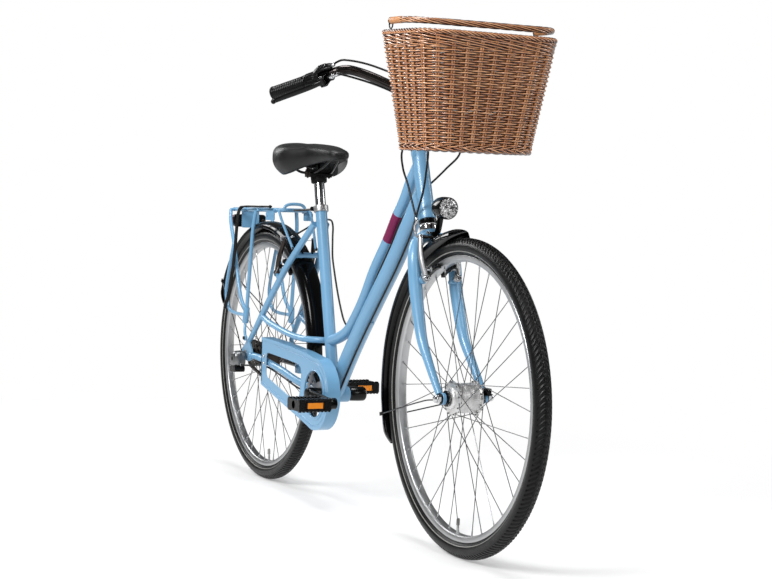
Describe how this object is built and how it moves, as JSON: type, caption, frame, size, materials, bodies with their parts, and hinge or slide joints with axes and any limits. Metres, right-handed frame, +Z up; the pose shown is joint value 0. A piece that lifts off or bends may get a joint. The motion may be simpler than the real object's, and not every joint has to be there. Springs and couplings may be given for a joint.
{
  "type": "city bicycle",
  "caption": "Step-through city bicycle with curved main tubes, mudguards, chain guard, carrier, front willow basket, side stand and hub gear.",
  "frame": {"origin": "on the ground, midway between the two wheel axles and in the bicycle's middle plane", "axes": "+X forwards, along the way it rides; +Y to the rider's left; +Z up"},
  "size_m": [1.84, 0.6196, 1.1643],
  "materials": {
    "blue_paint": "gloss",
    "black_plastic": "satin",
    "black_rubber": "matte",
    "tyre_rubber": "matte",
    "grey_bar": "satin",
    "bright_metal": "polished",
    "dull_metal": "satin",
    "black_metal": "satin",
    "willow": "varnished",
    "saddle_skin": "matte",
    "red_lens": "gloss"
  },
  "bodies": {
    "frame": {"head_tube": "blue_paint", "down_tube": "blue_paint", "upper_tube": "blue_paint", "seat_tube": "blue_paint", "chain_stay_right": "blue_paint", "chain_stay_left": "blue_paint", "seat_stay_right": "blue_paint", "seat_stay_left": "blue_paint", "mid_stays": "blue_paint", "stay_bridge": "blue_paint", "saddle_cover": "saddle_skin", "saddle_base": "black_plastic", "seat_post": "bright_metal", "seat_clamp": "black_metal", "rear_axle": "dull_metal", "chain": "dull_metal", "shift_box": "black_plastic", "chain_guard": "blue_paint", "rear_mudguard": "black_plastic", "carrier": "blue_paint", "tail_lamp": "red_lens", "elastic_strap": "black_rubber", "rear_brake_cable": "black_rubber", "shift_cable": "black_rubber"},
    "steering": {"fork": "blue_paint", "stem": "black_metal", "handlebar": "grey_bar", "basket_holder": "black_plastic", "grip_right": "black_rubber", "grip_left": "black_rubber", "brake_bracket_right": "black_plastic", "brake_bracket_left": "black_plastic", "basket": "willow", "headlamp": "black_plastic", "front_mudguard": "black_plastic", "front_axle": "dull_metal", "front_brake_cable": "black_rubber"},
    "front_wheel": {"front_tyre": "tyre_rubber", "front_rim": "bright_metal", "front_spokes": "bright_metal", "front_hub": "bright_metal"},
    "rear_wheel": {"rear_tyre": "tyre_rubber", "rear_rim": "bright_metal", "rear_spokes": "bright_metal", "rear_hub": "bright_metal"},
    "sprocket": {"rear_sprocket": "dull_metal"},
    "crank": {"chainring": "black_metal", "crank_right": "bright_metal", "crank_left": "bright_metal"},
    "pedal_right": {"pedal_right": "black_rubber"},
    "pedal_left": {"pedal_left": "black_rubber"},
    "brake_lever_right": {"brake_lever_right": "black_metal"},
    "brake_lever_left": {"brake_lever_left": "black_metal"},
    "twist_shifter": {"twist_shifter": "black_rubber"},
    "basket_handle": {"basket_handle": "willow"},
    "front_brake_arm_right": {"front_brake_arm_right": "bright_metal"},
    "front_brake_arm_left": {"front_brake_arm_left": "bright_metal"},
    "rear_brake_arm_right": {"rear_brake_arm_right": "bright_metal"},
    "rear_brake_arm_left": {"rear_brake_arm_left": "bright_metal"},
    "kickstand": {"kickstand": "black_metal"}
  },
  "joints": [
    {"name": "steering_turn", "type": "hinge", "parent": "frame", "child": "steering", "pos_m": [0.355, 0, 0.802], "axis": [-0.3091, 0, 0.951], "range_deg": [-60, 60], "deforming": ["rear_brake_cable", "shift_cable"]},
    {"name": "front_wheel_spin", "type": "hinge", "parent": "steering", "child": "front_wheel", "pos_m": [0.571, 0, 0.349], "axis": [0, 1, 0], "continuous": true},
    {"name": "rear_wheel_spin", "type": "hinge", "parent": "frame", "child": "rear_wheel", "pos_m": [-0.571, 0, 0.349], "axis": [0, 1, 0], "continuous": true},
    {"name": "crank_spin", "type": "hinge", "parent": "frame", "child": "crank", "pos_m": [-0.106, 0, 0.285], "axis": [0, 1, 0], "continuous": true},
    {"name": "sprocket_spin", "type": "hinge", "parent": "frame", "child": "sprocket", "pos_m": [-0.571, -0.045, 0.349], "axis": [0, 1, 0], "continuous": true},
    {"name": "pedal_right_spin", "type": "hinge", "parent": "crank", "child": "pedal_right", "pos_m": [0.069, -0.1475, 0.283], "axis": [0, 1, 0], "continuous": true},
    {"name": "pedal_left_spin", "type": "hinge", "parent": "crank", "child": "pedal_left", "pos_m": [-0.281, 0.1475, 0.283], "axis": [0, 1, 0], "continuous": true},
    {"name": "kickstand_swing", "type": "hinge", "parent": "frame", "child": "kickstand", "pos_m": [-0.481, 0.079, 0.314], "axis": [0, -0.9798, -0.2], "range_deg": [0, 98]},
    {"name": "basket_handle_swing", "type": "hinge", "parent": "steering", "child": "basket_handle", "pos_m": [0.529, 0, 1.1565], "axis": [0, -1, 0], "range_deg": [0, 165]},
    {"name": "shifter_twist", "type": "hinge", "parent": "steering", "child": "twist_shifter", "pos_m": [0.278, -0.195, 1.063], "axis": [-0.806, -0.5295, -0.2647], "range_deg": [-30, 30]},
    {"name": "brake_lever_right_pull", "type": "hinge", "parent": "steering", "child": "brake_lever_right", "pos_m": [0.27774, -0.22447, 1.03964], "axis": [-0.1498, 0.6151, -0.7741], "range_deg": [0, 9], "stiffness_Nm_per_rad": 0.5, "springref_deg": -5.73},
    {"name": "brake_lever_left_pull", "type": "hinge", "parent": "steering", "child": "brake_lever_left", "pos_m": [0.27774, 0.22447, 1.03964], "axis": [0.1498, 0.6151, 0.7741], "range_deg": [0, 9], "stiffness_Nm_per_rad": 0.5, "springref_deg": -5.73},
    {"name": "front_brake_right_swing", "type": "hinge", "parent": "steering", "child": "front_brake_arm_right", "pos_m": [0.44932, -0.04, 0.60342], "axis": [-0.951, 0, -0.3091], "range_deg": [0, 3.5]},
    {"name": "front_brake_left_swing", "type": "hinge", "parent": "steering", "child": "front_brake_arm_left", "pos_m": [0.44932, 0.04, 0.60342], "axis": [0.951, 0, 0.3091], "range_deg": [0, 3.5]},
    {"name": "rear_brake_right_swing", "type": "hinge", "parent": "frame", "child": "rear_brake_arm_right", "pos_m": [-0.40008, -0.0475, 0.57686], "axis": [-0.7115, 0, 0.7027], "range_deg": [0, 3.5]},
    {"name": "rear_brake_left_swing", "type": "hinge", "parent": "frame", "child": "rear_brake_arm_left", "pos_m": [-0.40008, 0.0475, 0.57686], "axis": [0.7115, 0, -0.7027], "range_deg": [0, 3.5]}
  ],
  "couplings": [
    {"joint": "sprocket_spin", "follows": "crank_spin", "ratio": 2.1111},
    {"joint": "front_brake_right_swing", "follows": "brake_lever_left_pull", "ratio": 0.38},
    {"joint": "front_brake_left_swing", "follows": "brake_lever_left_pull", "ratio": 0.38},
    {"joint": "rear_brake_right_swing", "follows": "brake_lever_right_pull", "ratio": 0.38},
    {"joint": "rear_brake_left_swing", "follows": "brake_lever_right_pull", "ratio": 0.38}
  ]
}
